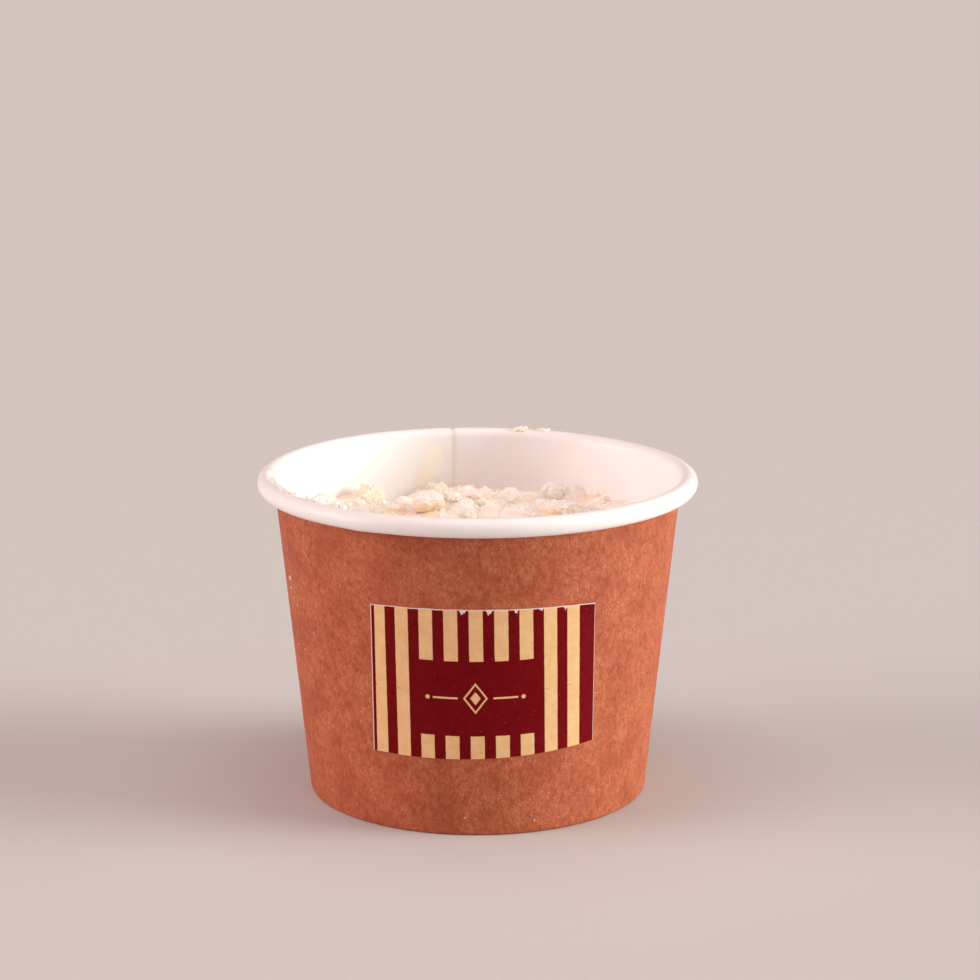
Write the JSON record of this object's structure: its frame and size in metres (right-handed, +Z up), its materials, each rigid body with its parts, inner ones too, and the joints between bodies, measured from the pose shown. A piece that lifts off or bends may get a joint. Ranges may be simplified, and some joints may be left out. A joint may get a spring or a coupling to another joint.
{
  "type": "cup of brigadeiro",
  "caption": "Round tapered paper dessert cup with a rolled rim and a striped label, filled with thick milk brigadeiro under clotted milk powder.",
  "frame": {"origin": "centre of the ring that the cup stands on", "axes": "+Z up through the open top, -Y towards the label, +X to the right when the label is seen from the front"},
  "size_m": [0.075, 0.075, 0.0555],
  "materials": {
    "kraft_board": "uncoated kraft board, faintly mottled",
    "white_board": "white coated board, satin",
    "label_print": "burgundy and cream striped print on a thin sticker, satin",
    "brigadeiro_cream": null,
    "milk_powder": null
  },
  "bodies": {
    "root": {"cup_wall": "kraft_board", "cup_base": "white_board", "label": "label_print", "brigadeiro": "brigadeiro_cream"}
  },
  "joints": []
}
